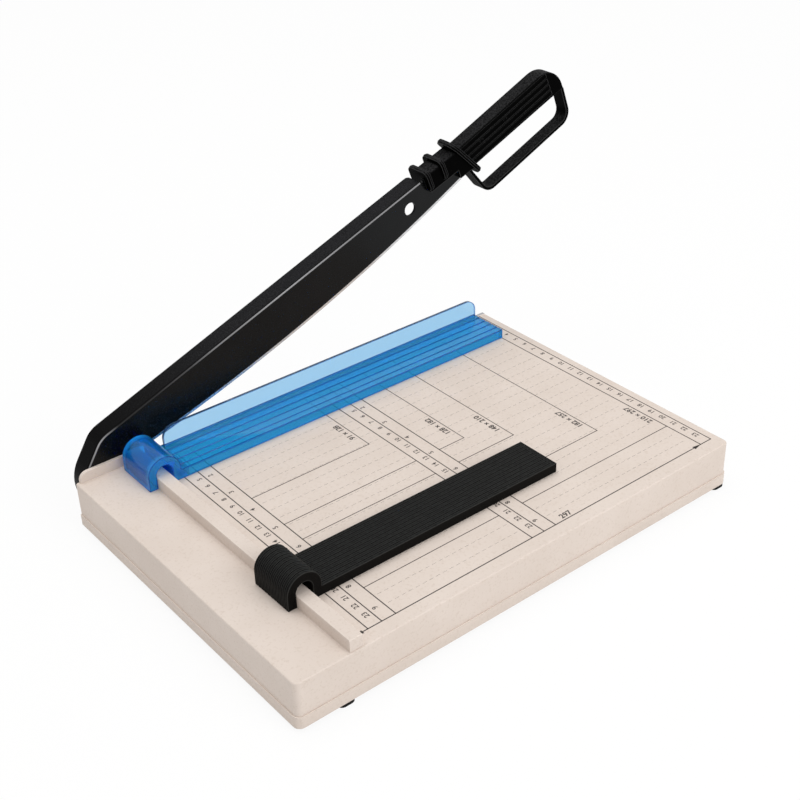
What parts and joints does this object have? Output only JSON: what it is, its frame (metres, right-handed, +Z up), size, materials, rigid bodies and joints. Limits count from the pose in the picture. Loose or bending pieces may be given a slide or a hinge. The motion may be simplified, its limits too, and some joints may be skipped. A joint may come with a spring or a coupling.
{
  "type": "guillotine paper cutter",
  "caption": "Guillotine paper cutter with a hinged blade arm and knuckle handle over a flat ruled base, a clear press guard by the blade and a sliding stop hooked on the fence.",
  "frame": {"origin": "on the table, in the middle of the whole machine's footprint with the arm at rest", "axes": "+X along the cut towards the handle, +Y from the front edge towards the blade, +Z up"},
  "size_m": [0.4493, 0.2686, 0.2189],
  "materials": {
    "cream_plastic": "fine grain",
    "cream_rim": "fine grain",
    "zinc_steel": "zinc plated",
    "spring_steel": "oiled",
    "ground_steel": "ground",
    "black_steel": "satin",
    "bronze": "plain",
    "black_rubber": "matte",
    "black_handle": "satin",
    "black_stop": "matte",
    "blue_guard": "clear",
    "blue_shield": "clear"
  },
  "bodies": {
    "base": {"base_casing": "cream_plastic", "bottom_cover": "cream_rim", "cover_screws": "zinc_steel", "rubber_feet": "black_rubber", "fence_rail": "cream_plastic", "fence_screws": "zinc_steel", "fixed_blade": "ground_steel", "fixed_blade_screws": "zinc_steel", "fixed_blade_nuts": "zinc_steel", "pivot_plate": "zinc_steel", "pivot_bolt": "zinc_steel", "thrust_washers": "zinc_steel", "spring_washer": "spring_steel", "pivot_nut": "zinc_steel"},
    "arm": {"blade_arm": "black_steel", "pivot_bush": "bronze", "handle": "black_handle", "handle_screws": "zinc_steel"},
    "guard": {"paper_guard": "blue_guard", "finger_shield": "blue_shield"},
    "stop": {"paper_stop": "black_stop"}
  },
  "joints": [
    {"name": "arm_hinge", "type": "hinge", "parent": "base", "child": "arm", "pos_m": [-0.19365, 0.11765, 0.024], "axis": [0, -1, 0], "range_deg": [-22.5, 55]},
    {"name": "guard_lift", "type": "hinge", "parent": "base", "child": "guard", "pos_m": [-0.1916, 0.09295, 0.0363], "axis": [0, -1, 0], "range_deg": [0, 12]},
    {"name": "stop_slide", "type": "slide", "parent": "base", "child": "stop", "axis": [0, 1, 0], "range_m": [-0.05, 0.121]}
  ]
}
